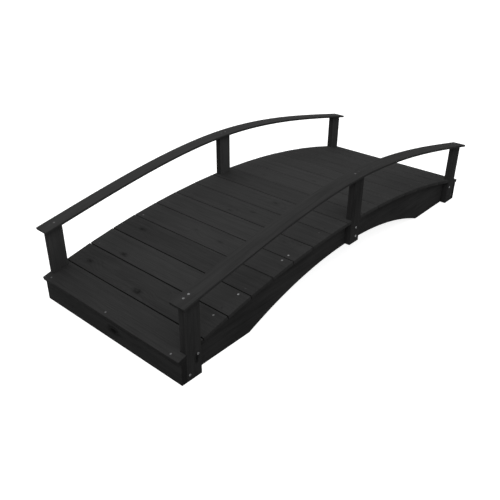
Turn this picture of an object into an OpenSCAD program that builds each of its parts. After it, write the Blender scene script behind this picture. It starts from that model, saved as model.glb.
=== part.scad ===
// Small arched garden footbridge of stained boards, standing free on four flat feet.
// X runs along the bridge, Y across it, Z up. The ground is Z = 0. Sizes are in mm.

/* [Deck boards] */
// length of a deck board, from one side of the bridge to the other
board_l = 582; // [480:1:800]
// width of a deck board, along the bridge
board_w = 89; // [70:1:120]
// thickness of a deck board
board_t = 12; // [8:0.5:22]
// gap between neighbouring deck boards
board_gap = 1.5; // [1:0.5:5]
// how far the end boards stand out past the end fascias
nosing = 9.5; // [4:0.5:20]

/* [Side beams] */
// radius of the curved top edge that carries the deck
beam_r = 2785; // [2000:5:4000]
// thickness of a beam
beam_t = 38; // [20:1:60]
// height of a beam at its two ends
beam_end_h = 74.5; // [60:0.5:110]
// depth of a beam at the crown of its arch
beam_crown_d = 80; // [50:1:110]
// length of the flat foot at each end of a beam
foot_l = 255; // [150:1:350]

/* [End fascias] */
// thickness of the board that closes each end
fascia_t = 19; // [12:0.5:30]

/* [Posts] */
// width of a post, along the bridge
post_w = 50; // [35:1:80]
// thickness of a post, across the bridge
post_t = 21; // [12:0.5:30]
// height of a middle post above the deck
middle_rise = 141; // [110:1:200]
// height of an end post above the deck, at its centre line
end_rise = 138; // [100:1:180]
// how far a middle post stops short of the beam's lower edge
middle_lift = 5; // [0:1:20]
// clearance of a deck board's notch around a post
notch_gap = 1; // [0.5:0.5:3]

/* [Handrails] */
// width of a handrail strip
rail_w = 50; // [35:1:90]
// thickness of a handrail strip
rail_t = 7.5; // [5:0.5:16]
// how far a handrail runs on past the end posts
rail_over = 12; // [5:1:40]

/* [Hidden] */
$fn = 360;

// the deck: equal flat boards, each set square to the beams' curve at its middle
board_count = 17;
middle_board = (board_count - 1) / 2;
board_step_a = 2 * atan((board_w + board_gap) / (2 * beam_r));
end_board_a = middle_board * board_step_a;
deck_end_x = (beam_r + board_t) * sin(end_board_a) + board_w / 2 * cos(end_board_a);

// the ends, from the outermost edge of the deck inwards
fascia_front_x = deck_end_x - nosing;
beam_end_x = fascia_front_x - fascia_t;
end_post_x = beam_end_x - post_w / 2;

// the beams' top curve and the arch cut from below, both about the middle of the bridge
beam_centre_z = beam_end_h - sqrt(pow(beam_r, 2) - pow(beam_end_x, 2));
crown_z = beam_centre_z + beam_r;
arch_h = crown_z - beam_crown_d;
arch_half = beam_end_x - foot_l;
arch_r = (pow(arch_half, 2) + pow(arch_h, 2)) / (2 * arch_h);

// sides of the bridge: the posts stand in notches, flush with the ends of the deck boards
outer_y = board_l / 2;
beam_y = outer_y - post_t;
post_y = outer_y - post_t / 2;

// the tops of the posts, measured up from the deck
deck_r = beam_r + board_t;
middle_top_z = beam_centre_z + deck_r + middle_rise;
end_top_z = beam_centre_z + sqrt(pow(deck_r, 2) - pow(end_post_x, 2)) + end_rise;

// the underside of a handrail: a lath bent over three posts, most at the middle one and not at all past the ends
rail_drop = middle_top_z - end_top_z;
rail_end_x = beam_end_x + rail_over;
rail_steps = 24;
rail_stations = [for (i = [-rail_steps:rail_steps]) rail_end_x * i / rail_steps];
function span_share(x) = min(abs(x) / end_post_x, 1);
function bend_share(s) = (3 * pow(s, 2) - pow(s, 3)) / 2;
function slope_share(s) = 3 * s - 1.5 * pow(s, 2);
function rail_slope(x) = -sign(x) * slope_share(span_share(x)) * rail_drop / end_post_x;
function past_post(x) = max(abs(x) - end_post_x, 0);
function rail_z(x) = middle_top_z - rail_drop * bend_share(span_share(x)) - past_post(x) * abs(rail_slope(x));
function rail_lean(x) = atan(rail_slope(x));
function rail_under(x) = [x, rail_z(x)];
function rail_top(x) = rail_under(x) + rail_t * [-sin(rail_lean(x)), cos(rail_lean(x))];

stain = [0.15, 0.15, 0.16];
top_stain = [0.20, 0.20, 0.21];

// A slab between two heights over the foot of one post, with room to spare around it.
module post_room(x, side, room) {
    translate([x - post_w / 2 - room, side * post_y - post_t / 2 - room, 0])
        cube([post_w + 2 * room, post_t + 2 * room, middle_top_z]);
}

// The places that all six posts take up in the deck.
module post_rooms() {
    for (side = [-1, 1])
        for (place = [-1, 0, 1])
            post_room(place * end_post_x, side, notch_gap);
}

// A flat deck board, counted from the near end, notched where a post stands.
module deck_board(index) {
    difference() {
        translate([0, 0, beam_centre_z])
            rotate([0, (index - middle_board) * board_step_a, 0])
                translate([-board_w / 2, -board_l / 2, beam_r])
                    cube([board_w, board_l, board_t]);
        post_rooms();
    }
}

// An arched beam with a level foot at each end; side is -1 for the right one, 1 for the left one.
module side_beam(side) {
    translate([0, side * (beam_y - beam_t / 2) + beam_t / 2, 0])
        rotate([90, 0, 0])
            linear_extrude(height = beam_t)
                difference() {
                    intersection() {
                        translate([-beam_end_x, 0])
                            square([2 * beam_end_x, crown_z]);
                        translate([0, beam_centre_z])
                            circle(r = beam_r);
                    }
                    translate([0, arch_h - arch_r])
                        circle(r = arch_r);
                }
}

// The board that closes one end, its top edge bevelled to the slope of the end deck board.
module fascia(end) {
    difference() {
        translate([end * (beam_end_x + fascia_t / 2) - fascia_t / 2, -outer_y, 0])
            cube([fascia_t, 2 * outer_y, crown_z]);
        translate([0, 0, beam_centre_z])
            rotate([0, end * end_board_a, 0])
                translate([-board_w, -outer_y - post_t, beam_r])
                    cube([2 * board_w, 2 * outer_y + 2 * post_t, crown_z]);
    }
}

// A flat upright on the outer face of a beam, cut on top to the underside of the handrail.
module post(x, side, foot_z) {
    intersection() {
        translate([x - post_w / 2, side * post_y - post_t / 2, foot_z])
            cube([post_w, post_t, middle_top_z - foot_z]);
        translate([0, side * post_y + post_t, 0])
            rotate([90, 0, 0])
                linear_extrude(height = 2 * post_t)
                    below_rail();
    }
}

// All that lies below the underside of a handrail, seen from the side.
module below_rail() {
    polygon(concat([for (x = rail_stations) rail_under(x)], [[rail_end_x, 0], [-rail_end_x, 0]]));
}

// A flat strip bent over the tops of three posts, its ends cut square to it.
module rail(side) {
    translate([0, side * post_y + rail_w / 2, 0])
        rotate([90, 0, 0])
            linear_extrude(height = rail_w)
                polygon(concat(
                    [for (x = rail_stations) rail_under(x)],
                    [for (x = rail_stations) rail_top(-x)]
                ));
}

module deck_board_01() { color(top_stain) deck_board(0); }
module deck_board_02() { color(top_stain) deck_board(1); }
module deck_board_03() { color(top_stain) deck_board(2); }
module deck_board_04() { color(top_stain) deck_board(3); }
module deck_board_05() { color(top_stain) deck_board(4); }
module deck_board_06() { color(top_stain) deck_board(5); }
module deck_board_07() { color(top_stain) deck_board(6); }
module deck_board_08() { color(top_stain) deck_board(7); }
module deck_board_09() { color(top_stain) deck_board(8); }
module deck_board_10() { color(top_stain) deck_board(9); }
module deck_board_11() { color(top_stain) deck_board(10); }
module deck_board_12() { color(top_stain) deck_board(11); }
module deck_board_13() { color(top_stain) deck_board(12); }
module deck_board_14() { color(top_stain) deck_board(13); }
module deck_board_15() { color(top_stain) deck_board(14); }
module deck_board_16() { color(top_stain) deck_board(15); }
module deck_board_17() { color(top_stain) deck_board(16); }
module left_beam() { color(stain) side_beam(1); }
module right_beam() { color(stain) side_beam(-1); }
module near_fascia() { color(stain) fascia(-1); }
module far_fascia() { color(stain) fascia(1); }
module left_near_post() { color(stain) post(-end_post_x, 1, 0); }
module left_middle_post() { color(stain) post(0, 1, arch_h + middle_lift); }
module left_far_post() { color(stain) post(end_post_x, 1, 0); }
module right_near_post() { color(stain) post(-end_post_x, -1, 0); }
module right_middle_post() { color(stain) post(0, -1, arch_h + middle_lift); }
module right_far_post() { color(stain) post(end_post_x, -1, 0); }
module left_rail() { color(top_stain) rail(1); }
module right_rail() { color(top_stain) rail(-1); }

deck_board_01();
deck_board_02();
deck_board_03();
deck_board_04();
deck_board_05();
deck_board_06();
deck_board_07();
deck_board_08();
deck_board_09();
deck_board_10();
deck_board_11();
deck_board_12();
deck_board_13();
deck_board_14();
deck_board_15();
deck_board_16();
deck_board_17();
left_beam();
right_beam();
near_fascia();
far_fascia();
left_near_post();
left_middle_post();
left_far_post();
right_near_post();
right_middle_post();
right_far_post();
left_rail();
right_rail();
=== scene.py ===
import math
import random

import bmesh
import bpy
from mathutils import Matrix, Vector


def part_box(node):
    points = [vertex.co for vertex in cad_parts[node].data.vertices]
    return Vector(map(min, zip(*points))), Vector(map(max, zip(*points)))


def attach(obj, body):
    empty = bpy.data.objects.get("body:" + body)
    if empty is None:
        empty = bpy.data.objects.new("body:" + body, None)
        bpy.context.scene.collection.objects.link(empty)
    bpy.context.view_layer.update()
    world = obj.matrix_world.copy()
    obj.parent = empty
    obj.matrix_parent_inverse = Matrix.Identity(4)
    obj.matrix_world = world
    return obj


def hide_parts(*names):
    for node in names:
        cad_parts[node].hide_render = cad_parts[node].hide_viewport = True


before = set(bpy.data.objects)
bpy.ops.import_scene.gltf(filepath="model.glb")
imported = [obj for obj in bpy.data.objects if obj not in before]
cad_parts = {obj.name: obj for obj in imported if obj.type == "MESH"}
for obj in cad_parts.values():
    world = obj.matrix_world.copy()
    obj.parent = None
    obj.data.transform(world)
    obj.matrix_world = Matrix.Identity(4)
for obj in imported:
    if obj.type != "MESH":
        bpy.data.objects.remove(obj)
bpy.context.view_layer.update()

# Sizes in metres, the same as in the part's source
board_count = 17
middle_board = 9
board_length = 0.582
board_width = 0.089
board_thick = 0.012
board_gap = 0.0015
nosing = 0.0095
beam_radius = 2.785
beam_thick = 0.038
beam_end_height = 0.0745
beam_crown_depth = 0.080
foot_length = 0.255
fascia_thick = 0.019
post_width = 0.050
post_thick = 0.021
middle_rise = 0.141
end_rise = 0.138
middle_lift = 0.005
notch_gap = 0.001
rail_width = 0.050
rail_thick = 0.0075
rail_over = 0.012

# Places that follow from the sizes
board_step = 2 * math.atan((board_width + board_gap) / (2 * beam_radius))
end_lean = (board_count - middle_board) * board_step
deck_radius = beam_radius + board_thick
deck_end_x = deck_radius * math.sin(end_lean) + board_width / 2 * math.cos(end_lean)
fascia_front_x = deck_end_x - nosing
beam_end_x = fascia_front_x - fascia_thick
end_post_x = beam_end_x - post_width / 2
beam_centre_z = beam_end_height - math.sqrt(beam_radius ** 2 - beam_end_x ** 2)
beam_centre = Vector((0, 0, beam_centre_z))
crown_z = beam_centre_z + beam_radius
crown_top_z = crown_z + board_thick
arch_height = crown_z - beam_crown_depth
arch_half = beam_end_x - foot_length
arch_radius = (arch_half ** 2 + arch_height ** 2) / (2 * arch_height)
outer_y = board_length / 2
post_y = outer_y - post_thick / 2
beam_outer_y = post_y - post_thick / 2
middle_top_z = beam_centre_z + deck_radius + middle_rise
end_top_z = beam_centre_z + math.sqrt(deck_radius ** 2 - end_post_x ** 2) + end_rise
rail_drop = middle_top_z - end_top_z
rail_end_x = beam_end_x + rail_over

ALONG_X = Vector((1, 0, 0))
ALONG_Y = Vector((0, 1, 0))
ALONG_Z = Vector((0, 0, 1))
ORIGIN = Vector((0, 0, 0))
HAIR = 1e-5
smooth_angle = math.radians(32)

# The small unevenness of handwork, the same in every run
hand = random.Random(1704)


def stray(limit):
    return hand.uniform(-limit, limit)


# Bench tools
def pick(piece):
    bpy.ops.object.select_all(action="DESELECT")
    piece.select_set(True)
    bpy.context.view_layer.objects.active = piece


def open_mesh(piece, everything=False):
    pick(piece)
    bpy.ops.object.mode_set(mode="EDIT")
    bpy.ops.mesh.select_mode(type="VERT")
    bpy.ops.mesh.select_all(action="SELECT" if everything else "DESELECT")


def close_mesh():
    bpy.ops.object.mode_set(mode="OBJECT")


def mark_points(piece, wanted):
    """Selects the points of the open mesh that wanted() says yes to."""
    bpy.ops.mesh.select_mode(type="VERT")
    bpy.ops.mesh.select_all(action="DESELECT")
    mesh = bmesh.from_edit_mesh(piece.data)
    for point in mesh.verts:
        if wanted(point.co):
            point.select_set(True)
    mesh.select_flush(True)
    bmesh.update_edit_mesh(piece.data)


def mark_edges(piece, wanted):
    """Selects the edges of the open mesh that wanted() says yes to."""
    bpy.ops.mesh.select_mode(type="EDGE")
    bpy.ops.mesh.select_all(action="DESELECT")
    mesh = bmesh.from_edit_mesh(piece.data)
    for edge in mesh.edges:
        if wanted(edge):
            edge.select_set(True)
    bmesh.update_edit_mesh(piece.data)


def runs_along(axis):
    straight = 0.995
    return lambda edge: abs((edge.verts[0].co - edge.verts[1].co).normalized().dot(axis)) > straight


def lies_at(axis, place):
    return lambda edge: all(abs(point.co.dot(axis) - place) < HAIR for point in edge.verts)


def either(*tests):
    return lambda edge: any(test(edge) for test in tests)


def every_edge(edge):
    return True


def cut_plank(name, low, high):
    """A square-sawn plank between two corners, its place in its mesh."""
    low, high = Vector(low), Vector(high)
    bpy.ops.object.select_all(action="DESELECT")
    bpy.ops.mesh.primitive_cube_add(size=1.0, location=(low + high) / 2, scale=high - low)
    plank = bpy.context.object
    plank.name = plank.data.name = name
    bpy.ops.object.transform_apply(location=True, rotation=True, scale=True)
    return plank


def round_over(piece, wanted, radius, segments=4):
    """Takes the sharpness off the edges that wanted() says yes to."""
    open_mesh(piece)
    mark_edges(piece, wanted)
    bpy.ops.mesh.bevel(offset=radius, offset_type="OFFSET", segments=segments, profile=0.5, affect="EDGES")
    close_mesh()


def saw_off(piece, place, outward):
    """Saws the piece off along a plane and throws away what lies outward of it."""
    open_mesh(piece, everything=True)
    bpy.ops.mesh.bisect(plane_co=place, plane_no=outward, use_fill=True, clear_outer=True)
    close_mesh()


def copy_of(piece, name):
    pick(piece)
    bpy.ops.object.duplicate(linked=False)
    twin = bpy.context.object
    twin.name = twin.data.name = name
    return twin


def shift(piece, step):
    open_mesh(piece, everything=True)
    bpy.ops.transform.translate(value=step)
    close_mesh()


def turn(piece, angle, axis, pivot):
    """Turns the whole mesh about a pivot; without a window the operator turns the other way."""
    open_mesh(piece, everything=True)
    bpy.ops.transform.rotate(value=-angle, orient_axis=axis, center_override=pivot)
    close_mesh()


def carve(piece, cutter):
    """Cuts the cutter's shape out of the piece."""
    pick(piece)
    cut = piece.modifiers.new("carve", "BOOLEAN")
    cut.operation = "DIFFERENCE"
    cut.solver = "EXACT"
    cut.object = cutter
    bpy.ops.object.modifier_apply(modifier=cut.name)
    bpy.data.objects.remove(cutter)


def join_up(pieces, name):
    bpy.ops.object.select_all(action="DESELECT")
    for piece in pieces:
        piece.select_set(True)
    bpy.context.view_layer.objects.active = pieces[0]
    bpy.ops.object.join()
    pieces[0].name = pieces[0].data.name = name
    return pieces[0]


def smooth_edges(piece):
    pick(piece)
    bpy.ops.object.shade_smooth_by_angle(angle=smooth_angle)


# Where each piece lay in its log
log_step = 3.0
log_starts = {}


def note_on_faces(mesh, name, values):
    mesh.attributes.new(name, "FLOAT", "FACE").data.foreach_set("value", values)


def roundness(facing):
    """0 for a face that looks straight along one axis, 1 for one that looks halfway between two."""
    return min(1.0, 2 * (1 - sum(part ** 4 for part in facing)))


def lay_grain(piece, along, across, up, heart, tone, end_soak_and_painted_shade=0.20, side_soak_and_painted_shade=0.0):
    """Keeps each point's place along the grain and across it from the heart of the log, and for each face
    its tone, how far it is a rounded edge and how much darker it is as a sawn end or side: stain soaked up,
    and on some pieces painted shade as well, or painted light where the amount is below 0."""
    mesh = piece.data
    start = log_step * (len(log_starts) + 1)
    log_starts[piece.name] = (start, along, across, up, heart)
    grain, edge, soak_and_painted_shade = [], [], []
    for point in mesh.vertices:
        away = point.co - heart
        grain += [away.dot(along) + start, away.dot(across), away.dot(up)]
    for face in mesh.polygons:
        facing = [face.normal.dot(axis) for axis in (along, across, up)]
        edge.append(roundness(facing))
        # The darkening of sawn ends and sides is soaked-up stain, and on some pieces also painted shade, or
        # painted light where it is below 0.
        soak_and_painted_shade.append(end_soak_and_painted_shade * facing[0] ** 2 + side_soak_and_painted_shade * facing[1] ** 2)
    mesh.attributes.new("grain", "FLOAT_VECTOR", "POINT").data.foreach_set("vector", grain)
    note_on_faces(mesh, "edge", edge)
    note_on_faces(mesh, "soak_and_painted_shade", soak_and_painted_shade)
    note_on_faces(mesh, "tone", [tone] * len(mesh.polygons))


def log_place(name, spot):
    """A spot on a piece, in the same log measures as its points."""
    start, along, across, up, heart = log_starts[name]
    away = Vector(spot) - heart
    return Vector((away.dot(along) + start, away.dot(across), away.dot(up)))


# Screws
recess_reach = 0.55
recess_width = 0.13
recess_depth = 0.8


def cross_cut(head, radius, height):
    """Sinks a cross recess into the top of a screw head."""
    reach, width, depth = radius * recess_reach, radius * recess_width, height * recess_depth
    for half_x, half_y in ((reach, width), (width, reach)):
        slot = cut_plank("slot", (-half_x, -half_y, height - depth), (half_x, half_y, height + depth))
        carve(head, slot)


def screw_head(name, radius, height, crown):
    """A round head, its top at the height given, rounded over there and cut with a cross recess."""
    bpy.ops.object.select_all(action="DESELECT")
    bpy.ops.mesh.primitive_cylinder_add(vertices=20, radius=radius, depth=2 * height, location=ORIGIN)
    head = bpy.context.object
    head.name = head.data.name = name
    round_over(head, lies_at(ALONG_Z, height), crown, segments=3)
    cross_cut(head, radius, height)
    smooth_edges(head)
    return head


def set_screw(head, place, bare, axis="Y", lean=0.0):
    """A copy of a head, turned and put where it is driven in; bare says how little stain ran over it."""
    screw = copy_of(head, "screw")
    points = len(screw.data.vertices)
    screw.data.attributes.new("bare", "FLOAT", "POINT").data.foreach_set("value", [bare] * points)
    if lean:
        turn(screw, lean, axis, ORIGIN)
    shift(screw, place)
    return screw


flat_head = screw_head("flat_head", radius=0.0030, height=0.0007, crown=0.0005)
pan_head = screw_head("pan_head", radius=0.0036, height=0.0020, crown=0.0014)

# Deck boards: for each, how thin its stain is, and how much darker its two long sides are made: stain soaked
# into the sawn sides, and painted shade in the near gaps and on the first board's front edge, or painted
# light that makes the far gaps fainter where below 0
board_stains_and_painted_shade = (
    (0.48, 0.20), (0.44, 0.65), (0.59, 0.65), (0.45, 0.65), (0.59, 0.20), (0.63, 0.35), (0.58, 0.35),
    (0.62, 0.00), (0.56, 0.15), (0.68, -0.15), (0.69, -0.10), (0.65, -0.10), (0.56, -0.10), (0.52, -0.10),
    (0.55, -0.10), (0.48, -0.10), (0.50, 0.20))
# The first board's sawn ends are made darker: end grain soaking up stain, and painted shade of the corner
# beside the near right post.
first_board_end_soak_and_painted_shade = 0.40
board_heart_aside = 0.05
board_heart_depths = (0.02, 0.09)
board_round = 0.0013
board_end_round = 0.0010
board_stagger = 0.0009
loose_boards = 3
loose_slack = 0.0012
tight_slack = 0.0005
post_boards = {1: "near", middle_board: "middle", board_count: "far"}

# Deck screws: board number, row along the bridge (-1 near, 1 far), line across it (-1 right, 1 left)
screw_row = 0.031
screw_lines = {-1: -0.2572, 0: 0.005, 1: 0.2640}
row_wander = 0.0012
line_wander = 0.0015
deck_screw_sink = 0.0006
crater_foot_radius = 0.0028
crater_rim_radius = 0.0038
crater_height = 0.0022
stained_over = 0.10
wiped_heads = {
    (1, -1, -1): 0.62, (1, -1, 0): 0.48, (1, -1, 1): 0.46, (2, 1, -1): 0.60, (3, 1, -1): 0.84,
    (3, -1, 1): 0.25, (3, 1, 1): 0.20, (4, -1, -1): 0.25, (5, 1, -1): 0.76, (5, -1, 1): 0.48,
    (6, -1, -1): 0.96, (7, -1, -1): 0.2, (7, 1, -1): 0.30, (11, 1, 1): 0.2, (14, -1, -1): 0.25,
    (16, 1, 1): 0.3, (17, 1, 1): 0.2, (17, 1, -1): 0.25}
strayed_heads = {
    (1, -1, -1): (-0.0020, 0.0010), (1, -1, 0): (-0.0025, 0.0005), (2, 1, -1): (-0.0035, 0.0005),
    (5, 1, -1): (0.0, -0.0030), (6, -1, -1): (0.0, -0.0025)}


def saw_plain_board():
    """The board at the crown, before its screws and notches."""
    board = cut_plank(
        "plain_board", (-board_width / 2, -outer_y, crown_z), (board_width / 2, outer_y, crown_top_z))
    round_over(board, runs_along(ALONG_Y), board_round)
    ends = either(lies_at(ALONG_Y, outer_y), lies_at(ALONG_Y, -outer_y))
    round_over(board, ends, board_end_round, segments=3)
    return board


def shape_crater():
    """The shape of the dent that a sunk screw leaves in the top of a board."""
    bpy.ops.object.select_all(action="DESELECT")
    bpy.ops.mesh.primitive_cone_add(
        vertices=16, radius1=crater_foot_radius, radius2=crater_rim_radius, depth=crater_height,
        location=(0, 0, crown_top_z))
    bpy.ops.object.transform_apply(location=True, rotation=True, scale=True)
    return bpy.context.object


def board_lean(number):
    return (number - middle_board) * board_step


def board_axes(number):
    """The directions across a board's width and up from its top."""
    lean = board_lean(number)
    return Vector((math.cos(lean), 0, -math.sin(lean))), Vector((math.sin(lean), 0, math.cos(lean)))


def saw_board(number):
    """A copy of the plain board, a hair slimmer and a hair out of line with the others."""
    board = copy_of(plain_board, f"board_{number:02d}")
    slack = loose_slack if number <= loose_boards else tight_slack
    slim = 1 - hand.uniform(0.0, slack) / board_width
    open_mesh(board, everything=True)
    bpy.ops.transform.resize(value=(slim, 1, 1), center_override=(0, 0, crown_z))
    bpy.ops.transform.translate(value=(0, stray(board_stagger), 0))
    close_mesh()
    return board


def screw_spots(number):
    """The corners of a board, and on the two end boards also the middle of the outer row."""
    spots = [(row, line) for row in (-1, 1) for line in (-1, 1)]
    if number == 1:
        spots.append((-1, 0))
    if number == board_count:
        spots.append((1, 0))
    return spots


def drive_screws(number, board):
    """Dents the board at each of its screws, and gives the screws as one piece."""
    dents, screws = [], []
    for row, line in screw_spots(number):
        aside_x, aside_y = strayed_heads.get((number, row, line), (0.0, 0.0))
        x = row * screw_row + stray(row_wander) + aside_x
        y = screw_lines[line] + stray(line_wander) + aside_y
        dent = copy_of(crater, "dent")
        shift(dent, (x, y, 0))
        dents.append(dent)
        bare = wiped_heads.get((number, row, line), stained_over)
        screws.append(set_screw(flat_head, (x, y, crown_top_z - deck_screw_sink), bare))
    carve(board, join_up(dents, "dents"))
    return join_up(screws, "board_screws")


def notch_around_posts(board, place):
    room = Vector((notch_gap, notch_gap, 0))
    for side in ("left", "right"):
        low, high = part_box(f"{side}_{place}_post")
        carve(board, cut_plank("notch", Vector(low) - room, Vector(high) + room))


def lay_board_grain(number, board):
    """Gives the board its own cut through a log, with the heart above it or below."""
    across, up = board_axes(number)
    heart = beam_centre + up * (beam_radius + board_thick / 2)
    heart = heart + across * stray(board_heart_aside)
    heart = heart + up * hand.choice((-1, 1)) * hand.uniform(*board_heart_depths)
    tone, side_soak_and_painted_shade = board_stains_and_painted_shade[number - 1]
    end_soak_and_painted_shade = first_board_end_soak_and_painted_shade if number == 1 else 0.0
    lay_grain(board, ALONG_Y, across, up, heart, tone, end_soak_and_painted_shade, side_soak_and_painted_shade)


plain_board = saw_plain_board()
crater = shape_crater()
boards, deck_screws = {}, []
for number in range(1, board_count + 1):
    board = saw_board(number)
    screws = drive_screws(number, board)
    for piece in (board, screws):
        turn(piece, board_lean(number), "Y", beam_centre)
    if number in post_boards:
        notch_around_posts(board, post_boards[number])
    smooth_edges(board)
    lay_board_grain(number, board)
    deck_screws.append(screws)
    boards[f"deck_board_{number:02d}"] = board
deck_screws = join_up(deck_screws, "deck_screws")

# Arched side beams
arch_parts = 22
foot_parts = 10
beam_round = 0.0015
beam_tone = 0.41
beam_heart_x = 0.30
beam_heart_aside = 0.03
beam_heart_z = 0.06


def beam_over(x):
    """The height of a beam's top edge."""
    return beam_centre_z + math.sqrt(beam_radius ** 2 - x ** 2)


def beam_under(x):
    """The height of a beam's lower edge: the arch, or the ground under a foot."""
    if abs(x) >= arch_half:
        return 0.0
    return max(0.0, arch_height - arch_radius + math.sqrt(arch_radius ** 2 - x ** 2))


def beam_rim(edge):
    """Tells whether an edge is where a side of the beam meets its top, underside or end."""
    sideways = 0.9
    on_side = [abs(face.normal.y) > sideways for face in edge.link_faces]
    return len(on_side) == 2 and on_side[0] != on_side[1]


def shape_beam(name, low_y):
    """A plank of beam stock, marked out in upright lines and brought to its curves line by line."""
    beam = cut_plank(name, (-beam_end_x, low_y, 0), (beam_end_x, low_y + beam_thick, crown_z))
    lines = [arch_half * part / arch_parts for part in range(-arch_parts, arch_parts + 1)]
    for end in (-1, 1):
        lines += [end * (arch_half + foot_length * part / foot_parts) for part in range(1, foot_parts)]
    open_mesh(beam, everything=True)
    for x in lines:
        bpy.ops.mesh.select_all(action="SELECT")
        bpy.ops.mesh.bisect(plane_co=(x, 0, 0), plane_no=ALONG_X)
    for x in lines + [-beam_end_x, beam_end_x]:
        mark_points(beam, lambda spot: abs(spot.x - x) < HAIR and spot.z > crown_z - HAIR)
        bpy.ops.transform.translate(value=(0, 0, beam_over(x) - crown_z))
        if beam_under(x) > 0:
            mark_points(beam, lambda spot: abs(spot.x - x) < HAIR and spot.z < HAIR)
            bpy.ops.transform.translate(value=(0, 0, beam_under(x)))
    close_mesh()
    round_over(beam, beam_rim, beam_round)
    smooth_edges(beam)
    return beam


beams = {}
for side, low_y in (("left", beam_outer_y - beam_thick), ("right", -beam_outer_y)):
    beam = shape_beam(f"beam_{side}", low_y)
    heart = Vector((beam_heart_x, low_y - beam_heart_aside, beam_heart_z))
    lay_grain(beam, ALONG_X, ALONG_Z, ALONG_Y, heart, beam_tone)
    beams[f"{side}_beam"] = beam

# End fascias
fascia_round = 0.0013
fascia_tone = 0.45
# The fascias' sawn ends are made darker: end grain soaking up stain, and painted shade of the near post's
# shadow.
fascia_end_soak_and_painted_shade = 0.60
fascia_heart_inward = 0.05
fascia_heart_z = 0.05


def shape_near_fascia():
    """A board across the near end, its top edge sawn to the slope of the first deck board."""
    fascia = cut_plank("fascia_near", (-fascia_front_x, -outer_y, 0), (-beam_end_x, outer_y, crown_z))
    _, up = board_axes(1)
    saw_off(fascia, beam_centre + up * beam_radius, up)
    round_over(fascia, every_edge, fascia_round)
    smooth_edges(fascia)
    return fascia


near_fascia = shape_near_fascia()
far_fascia = copy_of(near_fascia, "fascia_far")
turn(far_fascia, math.pi, "Z", ORIGIN)
fascias = {"near_fascia": near_fascia, "far_fascia": far_fascia}
for end, fascia in ((-1, near_fascia), (1, far_fascia)):
    heart = Vector((end * (beam_end_x - fascia_heart_inward), 0, fascia_heart_z))
    lay_grain(fascia, ALONG_Y, ALONG_Z, ALONG_X, heart, fascia_tone, fascia_end_soak_and_painted_shade)

# Posts: for each, its tone and how much darker its two narrow sides are made; partly stain that differs,
# partly painted light and shade set to how the light falls on each post, which makes the left posts lighter
# than the right, the left narrow sides darker and the right ones lighter where below 0
post_tones_and_painted_light = {
    "left_near_post": (0.73, 0.15), "left_middle_post": (0.94, 0.52), "left_far_post": (0.83, 0.31),
    "right_near_post": (0.44, -0.04), "right_middle_post": (0.40, -0.10), "right_far_post": (0.46, -0.26)}
post_round = 0.0011
post_heart_aside = 0.02
post_heart_depths = (0.02, 0.05)


def rail_slope(x):
    """The slope of a handrail: a lath held down at its end posts, bent most at the middle one."""
    share = min(abs(x) / end_post_x, 1)
    return -math.copysign(3 * share - 1.5 * share ** 2, x) * rail_drop / end_post_x


def rail_z(x):
    """The height of a handrail's underside, which runs on straight past the end posts."""
    share = min(abs(x) / end_post_x, 1)
    past = max(abs(x) - end_post_x, 0)
    return middle_top_z - rail_drop * (3 * share ** 2 - share ** 3) / 2 - past * abs(rail_slope(x))


def shape_post(name, x, foot_z):
    """An upright on the left side, sawn on top to the slope of the handrail."""
    low = (x - post_width / 2, post_y - post_thick / 2, foot_z)
    high = (x + post_width / 2, post_y + post_thick / 2, middle_top_z + post_width)
    post = cut_plank(name, low, high)
    saw_off(post, (x, 0, rail_z(x)), Vector((-rail_slope(x), 0, 1)).normalized())
    round_over(post, every_edge, post_round)
    smooth_edges(post)
    return post


def copy_post(model, side, place):
    """A copy of a left post for another place; a far post is a near one after half a turn of the bridge."""
    post = copy_of(model, f"post_{side}_{place}")
    from_y = post_y
    if place == "far":
        turn(post, math.pi, "Z", ORIGIN)
        from_y = -post_y
    to_y = post_y if side == "left" else -post_y
    shift(post, (0, to_y - from_y, 0))
    return post


near_post = shape_post("post_left_near", -end_post_x, 0)
middle_post = shape_post("post_left_middle", 0.0, arch_height + middle_lift)
posts = {
    "left_near_post": near_post,
    "left_middle_post": middle_post,
    "left_far_post": copy_post(near_post, "left", "far"),
    "right_near_post": copy_post(near_post, "right", "near"),
    "right_middle_post": copy_post(middle_post, "right", "middle"),
    "right_far_post": copy_post(near_post, "right", "far")}
for node, post in posts.items():
    low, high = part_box(node)
    outward = 1 if low[1] > 0 else -1
    heart_x = (low[0] + high[0]) / 2 + stray(post_heart_aside)
    heart_y = hand.uniform(*post_heart_depths) * outward + low[1]
    # Each post's tone and narrow sides carry painted light and shade as well as its stain.
    tone, side_soak_and_painted_shade = post_tones_and_painted_light[node]
    lay_grain(post, ALONG_Z, ALONG_X, ALONG_Y, Vector((heart_x, heart_y, 0)), tone, side_soak_and_painted_shade=side_soak_and_painted_shade)

# Handrails
rail_round = 0.0013
rail_end_round = 0.0006
rail_cuts = 55
rail_tones = {"left_rail": 0.63, "right_rail": 0.48}
rail_side_soaks = {"left_rail": 0.10, "right_rail": 0.0}
rail_heart_aside = 0.01
rail_heart_heights = (-0.08, -0.05)


def saw_rail(name):
    """A straight strip on the ground under the left posts, marked off in short lengths for bending."""
    low = (-rail_end_x, post_y - rail_width / 2, 0)
    high = (rail_end_x, post_y + rail_width / 2, rail_thick)
    rail = cut_plank(name, low, high)
    round_over(rail, runs_along(ALONG_X), rail_round)
    ends = either(lies_at(ALONG_X, rail_end_x), lies_at(ALONG_X, -rail_end_x))
    round_over(rail, ends, rail_end_round, segments=2)
    open_mesh(rail)
    mark_edges(rail, lambda edge: abs(edge.verts[0].co.x - edge.verts[1].co.x) > rail_end_x)
    bpy.ops.mesh.subdivide(number_cuts=rail_cuts)
    close_mesh()
    return rail


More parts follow.
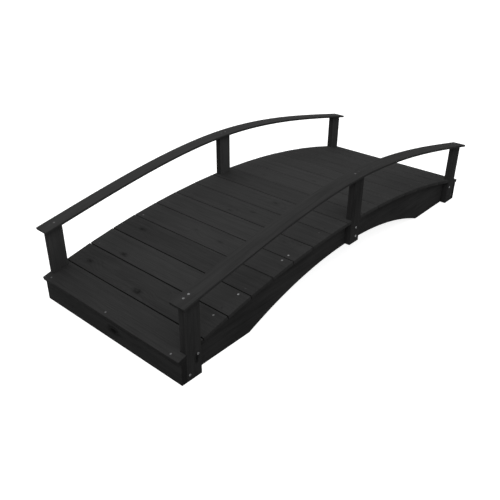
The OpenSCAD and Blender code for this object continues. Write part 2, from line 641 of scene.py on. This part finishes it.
def bend_rail(rail, middle_y):
    """Turns each ring of points to the handrail's slope and lifts it to the handrail's height.
    The operator turns the other way here too."""
    rings = {}
    for point in rail.data.vertices:
        rings.setdefault(round(point.co.x, 5), []).append(point.index)
    open_mesh(rail)
    for x, points in sorted(rings.items()):
        bpy.ops.mesh.select_all(action="DESELECT")
        mesh = bmesh.from_edit_mesh(rail.data)
        mesh.verts.ensure_lookup_table()
        for index in points:
            mesh.verts[index].select_set(True)
        bmesh.update_edit_mesh(rail.data)
        lean = math.atan(rail_slope(x))
        if lean:
            bpy.ops.transform.rotate(value=lean, orient_axis="Y", center_override=(x, middle_y, 0))
        bpy.ops.transform.translate(value=(0, 0, rail_z(x)))
    close_mesh()


left_rail = saw_rail("rail_left")
right_rail = copy_of(left_rail, "rail_right")
shift(right_rail, (0, -2 * post_y, 0))
rails = {"left_rail": left_rail, "right_rail": right_rail}
for node, rail in rails.items():
    sign = 1 if rail == left_rail else -1
    smooth_edges(rail)
    heart_y = sign * (post_y + stray(rail_heart_aside))
    heart = Vector((0, heart_y, hand.uniform(*rail_heart_heights)))
    lay_grain(rail, ALONG_X, ALONG_Y, ALONG_Z, heart, rail_tones[node], side_soak_and_painted_shade=rail_side_soaks[node])
    bend_rail(rail, sign * post_y)

# Screws in the handrails: for each its x, how far in from the posts' middle it is, and how bare
rail_screw_sink = 0.0003
rail_screw_places = {
    "left": (
        (-0.702, 0.002, 0.52), (-0.719, 0.002, 0.2), (-0.010, 0.002, 0.35), (0.010, 0.002, 0.5),
        (0.703, 0.002, 0.3), (0.719, 0.002, 0.2)),
    "right": (
        (-0.701, 0.005, 0.82), (-0.718, 0.005, 0.70), (-0.010, 0.002, 0.5), (0.011, 0.002, 0.2),
        (0.702, 0.002, 0.2), (0.720, 0.002, 0.3))}

# Screws in the posts: for each its x, its z and how bare it is
post_screw_sink = 0.0002
post_screw_places = (
    (-0.695, 0.069, 0.60), (-0.7255, 0.0195, 0.66), (0.004, 0.151, 0.82), (0.0065, 0.120, 0.95),
    (0.698, 0.0655, 1.0), (0.7255, 0.022, 0.35))


def set_rail_screws(side, sign):
    screws = []
    for x, inset, bare in rail_screw_places[side]:
        lean = -math.atan(rail_slope(x))
        up = Vector((math.sin(lean), 0, math.cos(lean)))
        place = Vector((x, sign * (post_y - inset), rail_z(x))) + up * (rail_thick - rail_screw_sink)
        screws.append(set_screw(flat_head, place, bare, "Y", lean))
    return join_up(screws, f"rail_screws_{side}")


def set_post_screws(side, sign):
    screws = []
    for x, z, bare in post_screw_places:
        place = (x, sign * (outer_y - post_screw_sink), z)
        screws.append(set_screw(pan_head, place, bare, "X", -sign * math.pi / 2))
    return join_up(screws, f"post_screws_{side}")


rail_screws, post_screws = [], []
for side, sign in (("left", 1), ("right", -1)):
    rail_screws.append(set_rail_screws(side, sign))
    post_screws.append(set_post_screws(side, sign))

for pattern in (plain_board, crater, flat_head, pan_head):
    bpy.data.objects.remove(pattern)


# Tools for finishes
def new_finish(name):
    finish = bpy.data.materials.new(name)
    finish.use_nodes = True
    finish.node_tree.nodes.clear()
    return finish, finish.node_tree


def add_node(tree, kind, inputs=(), **settings):
    """A node with its settings, and for each input a constant or another node's output."""
    node = tree.nodes.new(kind)
    for key, value in settings.items():
        setattr(node, key, value)
    for key, value in dict(inputs).items():
        if isinstance(value, bpy.types.NodeSocket):
            tree.links.new(value, node.inputs[key])
        else:
            node.inputs[key].default_value = value
    return node


def reckon(tree, operation, first, second=0.0, third=0.0):
    return add_node(tree, "ShaderNodeMath", {0: first, 1: second, 2: third}, operation=operation).outputs[0]


def reckon_vector(tree, operation, first, second=ORIGIN):
    return add_node(tree, "ShaderNodeVectorMath", {0: first, 1: second}, operation=operation).outputs


def blend_range(tree, value, low, high, from_value, to_value):
    """Goes smoothly from one value to another while the input goes from low to high."""
    return add_node(tree, "ShaderNodeMapRange", {
        "Value": value, "From Min": low, "From Max": high, "To Min": from_value, "To Max": to_value,
    }, interpolation_type="SMOOTHSTEP").outputs[0]


def sway(tree, value, noise, share):
    """Moves a value up and down with a noise that is 0.5 on average."""
    return reckon(tree, "MULTIPLY_ADD", reckon(tree, "SUBTRACT", noise, 0.5), share, value)


def mix_colours(tree, share, first, second):
    return add_node(tree, "ShaderNodeMix", {0: share, 6: first, 7: second}, data_type="RGBA").outputs[2]


def grey(level):
    return (level, level, level, 1)


def read_note(tree, name):
    return add_node(tree, "ShaderNodeAttribute", attribute_name=name).outputs["Fac"]


def cover(tree, inputs):
    """Ends a finish with its surface."""
    surface = add_node(tree, "ShaderNodeBsdfPrincipled", inputs)
    add_node(tree, "ShaderNodeOutputMaterial", {"Surface": surface.outputs[0]})


# Black-stained softwood
thick_stain = grey(0.016)
thin_stain = grey(0.053)
knot_black = grey(0.005)
rubbed_wood = (0.090, 0.088, 0.085, 1)
rubbed_most = 0.25
ring_wander = 0.030
late_wood_shade = -0.10
late_wood_dullness = -0.08
fibre_shade = 0.60
patch_dullness = 0.12
plain_dullness = 0.82
knot_squeeze = (0.5, 1.0, 0.3)
knot_raggedness = 0.5
rings_round_knot = 2.4
live_knot_dark = 0.85


def wood_noise(tree, grain, stretch, detail, rough=0.5):
    """Noise in the log's own measures; stretch is how fast it changes along, across and up."""
    spread = add_node(tree, "ShaderNodeMapping", {"Vector": grain, "Scale": stretch}).outputs[0]
    return add_node(tree, "ShaderNodeTexNoise", {
        "Vector": spread, "Scale": 1.0, "Detail": detail, "Roughness": rough}).outputs["Fac"]


def knot_shapes(tree, grain, patch, knots):
    """How many rings bend around the nearest knot, and how dark the wood is in it."""
    squeezed = reckon_vector(tree, "MULTIPLY", grain, knot_squeeze)[0]
    nearest = None
    for spot, radius, faint in knots:
        centre = [place * squeeze for place, squeeze in zip(spot, knot_squeeze)]
        away = reckon_vector(tree, "DISTANCE", squeezed, centre)["Value"]
        away = reckon(tree, "MULTIPLY_ADD", away, 1 / radius, faint)
        nearest = away if nearest is None else reckon(tree, "MINIMUM", nearest, away)
    nearest = reckon(tree, "MULTIPLY_ADD", patch, knot_raggedness, nearest)
    wrap = blend_range(tree, nearest, 1.0, 4.2, rings_round_knot, 0.0)
    crackle = wood_noise(tree, grain, stretch=(90, 260, 260), detail=2.0)
    core = blend_range(tree, nearest, 0.35, 1.65, live_knot_dark, 0.0)
    core = reckon(tree, "MULTIPLY", core, blend_range(tree, crackle, 0.36, 0.62, 0.35, 1.0))
    dead = blend_range(tree, nearest, -0.20, 0.30, 1.0, 0.0)
    return wrap, reckon(tree, "MAXIMUM", core, dead)


def late_wood_bands(tree, grain, wander, knot_wrap, ring_width):
    """Year rings about the heart of the log: 1 in the dense wood that ends each year, 0 before it."""
    from_heart = add_node(tree, "ShaderNodeMapping", {"Vector": grain, "Scale": (0, 1, 1)}).outputs[0]
    from_heart = reckon_vector(tree, "LENGTH", from_heart)["Value"]
    from_heart = reckon(tree, "MULTIPLY_ADD", wander, ring_wander, from_heart)
    year = reckon(tree, "FRACT", reckon(tree, "MULTIPLY_ADD", from_heart, 1 / ring_width, knot_wrap))
    rise = blend_range(tree, year, 0.35, 0.86, 0.0, 1.0)
    fall = blend_range(tree, year, 0.90, 1.0, 1.0, 0.0)
    return reckon(tree, "MULTIPLY", rise, fall)


def black_stained_wood(name, ring_width, streaky, patchy, knots):
    """Softwood under a matt black stain: year rings, streaks, fibres, knots, and wear on rounded edges.
    Each knot is its place in the log, its radius and how faint it is; below 0 it is dead and black."""
    finish, tree = new_finish(name)
    grain = add_node(tree, "ShaderNodeAttribute", attribute_name="grain").outputs["Vector"]
    wander = wood_noise(tree, grain, stretch=(2.6, 16, 16), detail=2.0)
    streak = wood_noise(tree, grain, stretch=(3.0, 95, 95), detail=3.0, rough=0.6)
    fibre = wood_noise(tree, grain, stretch=(14, 880, 880), detail=2.0, rough=0.6)
    patch = wood_noise(tree, grain, stretch=(7, 22, 22), detail=2.0)
    speck = wood_noise(tree, grain, stretch=(260, 900, 900), detail=1.0)
    knot_wrap, knot_core = knot_shapes(tree, grain, patch, knots)
    late_wood = late_wood_bands(tree, grain, wander, knot_wrap, ring_width)

    shade = sway(tree, read_note(tree, "tone"), streak, streaky)
    shade = reckon(tree, "MULTIPLY_ADD", late_wood, late_wood_shade, shade)
    shade = sway(tree, shade, fibre, fibre_shade)
    shade = sway(tree, shade, patch, patchy)
    # Sawn ends and sides darker: soaked-up stain, and on some pieces painted shade, or painted light where
    # below 0.
    shade = reckon(tree, "SUBTRACT", shade, read_note(tree, "soak_and_painted_shade"))
    rubbed = blend_range(tree, streak, 0.42, 0.70, 0.0, rubbed_most)
    rubbed = reckon(tree, "MULTIPLY", read_note(tree, "edge"), rubbed)
    stain = mix_colours(tree, shade, thick_stain, thin_stain)
    stain = mix_colours(tree, knot_core, stain, knot_black)
    stain = mix_colours(tree, rubbed, stain, rubbed_wood)

    dullness = reckon(tree, "MULTIPLY_ADD", late_wood, late_wood_dullness, plain_dullness)
    dullness = reckon(tree, "MULTIPLY_ADD", patch, patch_dullness, dullness)
    height = reckon(tree, "MULTIPLY", fibre, 0.6)
    for layer, share in ((late_wood, 0.35), (speck, 0.25), (knot_core, 0.5)):
        height = reckon(tree, "MULTIPLY_ADD", layer, share, height)
    relief = add_node(tree, "ShaderNodeBump", {"Strength": 0.35, "Distance": 0.0004, "Height": height})
    cover(tree, {
        "Base Color": stain, "Roughness": dullness, "Normal": relief.outputs[0], "Specular IOR Level": 0.016})
    return finish


# Zinc-plated screws, partly stained over
stain_film = grey(0.026)
dull_zinc = (0.14, 0.14, 0.143, 1)
clear_zinc = (0.26, 0.26, 0.264, 1)
wiped_dullness = -0.44


def bright_zinc(name):
    """Zinc-plated steel with fine spangle, stained over where the screw's note says it is not bare."""
    finish, tree = new_finish(name)
    place = add_node(tree, "ShaderNodeTexCoord").outputs["Object"]
    spangle = add_node(tree, "ShaderNodeTexNoise", {"Vector": place, "Scale": 900.0, "Detail": 3.0})
    spangle = spangle.outputs["Fac"]
    wiped = blend_range(tree, sway(tree, read_note(tree, "bare"), spangle, 0.5), 0.0, 1.0, 0.0, 1.0)
    tint = mix_colours(tree, spangle, dull_zinc, clear_zinc)
    tint = mix_colours(tree, wiped, stain_film, tint)
    dullness = blend_range(tree, spangle, 0.3, 0.7, 0.78, 0.94)
    dullness = reckon(tree, "MULTIPLY_ADD", wiped, wiped_dullness, dullness)
    relief = add_node(tree, "ShaderNodeBump", {"Strength": 0.15, "Distance": 0.0001, "Height": spangle})
    cover(tree, {
        "Base Color": tint, "Roughness": dullness, "Normal": relief.outputs[0], "Metallic": wiped,
        "Specular IOR Level": 0.08})
    return finish


# Knots: on a deck board by its number, the place across it and y; elsewhere by the piece and the place
def on_board(number, aside, y):
    across, up = board_axes(number)
    spot = Vector((0, y, beam_centre_z)) + up * deck_radius + across * aside
    return log_place(f"board_{number:02d}", spot)


deck_knots = [(on_board(number, aside, y), radius, faint) for number, aside, y, radius, faint in (
    (2, -0.012, 0.218, 0.010, 0.30), (2, -0.0215, -0.010, 0.010, 0.0), (3, -0.026, 0.150, 0.010, 0.20),
    (4, 0.003, 0.201, 0.010, 0.20), (5, 0.004, 0.057, 0.012, 0.62), (5, -0.003, -0.052, 0.013, 0.58),
    (6, 0.018, -0.205, 0.009, 0.60), (7, -0.028, 0.052, 0.012, 0.62), (7, 0.007, -0.016, 0.014, 0.62),
    (8, 0.011, -0.033, 0.013, 0.60), (10, -0.014, 0.150, 0.011, 0.62), (11, -0.021, -0.012, 0.012, 0.64),
    (12, -0.020, 0.016, 0.013, 0.64), (13, 0.013, -0.052, 0.014, 0.60), (14, 0.006, 0.190, 0.010, 0.60),
    (15, -0.019, -0.140, 0.013, 0.60), (16, 0.015, 0.070, 0.012, 0.60))]
frame_knots = [(log_place(piece, spot), radius, faint) for piece, spot, radius, faint in (
    ("fascia_near", (-fascia_front_x, -0.025, 0.037), 0.0075, -1.0),
    ("fascia_far", (fascia_front_x, 0.130, 0.045), 0.008, 0.0),
    ("fascia_far", (fascia_front_x, -0.190, 0.028), 0.006, 0.0),
    ("post_right_near", (-0.6996, -outer_y, 0.058), 0.0045, -1.0),
    ("post_left_middle", (0.012, outer_y, 0.235), 0.005, 0.0),
    ("beam_right", (-0.330, beam_thick - beam_outer_y, 0.105), 0.010, 0.2),
    ("beam_right", (0.520, beam_thick - beam_outer_y, 0.060), 0.009, 0.2),
    ("beam_left", (0.300, beam_outer_y, 0.110), 0.010, 0.2),
    ("beam_left", (-0.560, beam_outer_y, 0.055), 0.009, 0.2))]
rail_knots = [(log_place("rail_left", (0.36, post_y + 0.012, 0)), 0.003, 0.0)]

deck_finish = black_stained_wood(
    "deck_black_stain", ring_width=0.0046, streaky=0.40, patchy=0.22, knots=deck_knots)
frame_finish = black_stained_wood(
    "frame_black_stain", ring_width=0.0044, streaky=0.60, patchy=0.80, knots=frame_knots)
rail_finish = black_stained_wood(
    "rail_black_stain", ring_width=0.0040, streaky=0.40, patchy=0.22, knots=rail_knots)
zinc_finish = bright_zinc("screw_zinc")


# Finishes and places in the frame
def dress(piece, finish, node=None):
    """Gives a piece its finish, its material slot and its body, and hides the CAD part that it takes the
    place of.
    """
    piece.data.materials.clear()
    piece.data.materials.append(finish)
    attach(piece, "root")
    if node:
        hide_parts(node)


for node, board in boards.items():
    dress(board, deck_finish, node)
for node, piece in {**beams, **fascias, **posts}.items():
    dress(piece, frame_finish, node)
for node, rail in rails.items():
    dress(rail, rail_finish, node)
for screws in (deck_screws, *rail_screws, *post_screws):
    dress(screws, zinc_finish)

# Floor and white room
floor_size = 60.0
floor_drop = 0.0004
room_strength = 0.60
white = grey(1)
floor_bounce = grey(0.12)
floor_shadow = grey(0.60)
floor_glow = 0.87


def seen_directly(tree):
    """1 for rays that show the background or its mirror image, 0 for rays that light the object."""
    path = add_node(tree, "ShaderNodeLightPath").outputs
    seen = reckon(tree, "MAXIMUM", path["Is Camera Ray"], path["Is Glossy Ray"])
    return reckon(tree, "MAXIMUM", seen, path["Is Transmission Ray"])


def seen_or_lighting(tree, lighting, seen):
    """One look for the rays that light the object, another for the rays that show the background."""
    return add_node(tree, "ShaderNodeMixShader", {0: seen_directly(tree), 1: lighting, 2: seen}).outputs[0]


def pale_floor(name):
    """A floor that shows white with the object's shadow, and throws little light back up."""
    finish, tree = new_finish(name)
    lighting = add_node(tree, "ShaderNodeBsdfDiffuse", {"Color": floor_bounce}).outputs[0]
    shadowed = add_node(tree, "ShaderNodeBsdfDiffuse", {"Color": floor_shadow}).outputs[0]
    glow = add_node(tree, "ShaderNodeEmission", {"Color": white, "Strength": floor_glow}).outputs[0]
    seen = add_node(tree, "ShaderNodeAddShader", {0: shadowed, 1: glow}).outputs[0]
    add_node(tree, "ShaderNodeOutputMaterial", {"Surface": seen_or_lighting(tree, lighting, seen)})
    return finish


bpy.ops.object.select_all(action="DESELECT")
bpy.ops.mesh.primitive_plane_add(size=floor_size, location=(0, 0, -floor_drop))
floor = bpy.context.object
floor.name = "studio_floor"
floor.data.materials.append(pale_floor("pale_floor"))

world = bpy.data.worlds.new("white_studio")
bpy.context.scene.world = world
world.use_nodes = True
tree = world.node_tree
tree.nodes.clear()
room_light = add_node(tree, "ShaderNodeBackground", {"Color": white, "Strength": room_strength}).outputs[0]
backdrop = add_node(tree, "ShaderNodeBackground", {"Color": white, "Strength": 1.0}).outputs[0]
add_node(tree, "ShaderNodeOutputWorld", {"Surface": seen_or_lighting(tree, room_light, backdrop)})


# Soft lamps
def hang_softbox(name, place, width, watts):
    """A round soft lamp that points at the middle of the bridge."""
    lamp = bpy.data.lights.new(name, "AREA")
    lamp.shape = "DISK"
    lamp.size = width
    lamp.energy = watts
    stand = bpy.data.objects.new(name, lamp)
    stand.location = place
    stand.rotation_euler = (-Vector(place)).to_track_quat("-Z", "Y").to_euler()
    bpy.context.scene.collection.objects.link(stand)


hang_softbox("front_softbox", place=(-1.5, -1.6, 2.4), width=2.6, watts=22.5)
hang_softbox("back_softbox", place=(0.4, 1.9, 2.3), width=3.0, watts=26.0)

# Camera, as fitted to the photograph
picture_px = 500
focal_px = 608.05
film_width = 36.0
camera_place = (-1.502508, -1.162625, 1.027780)
camera_heading = math.radians(48.902)
camera_tilt = math.radians(29.384)
camera_roll = math.radians(0.455)

camera = bpy.data.cameras.new("photo_camera")
camera.sensor_width = film_width
camera.lens = film_width * focal_px / picture_px
camera_stand = bpy.data.objects.new("photo_camera", camera)
camera_stand.location = camera_place
heading = Matrix.Rotation(-camera_heading, 3, "Z")
tilt = Matrix.Rotation(math.pi / 2 - camera_tilt, 3, "X")
roll = Matrix.Rotation(camera_roll, 3, "Z")
camera_stand.rotation_euler = (heading @ tilt @ roll).to_euler()
bpy.context.scene.collection.objects.link(camera_stand)
bpy.context.scene.camera = camera_stand
bpy.context.scene.view_settings.view_transform = "Standard"
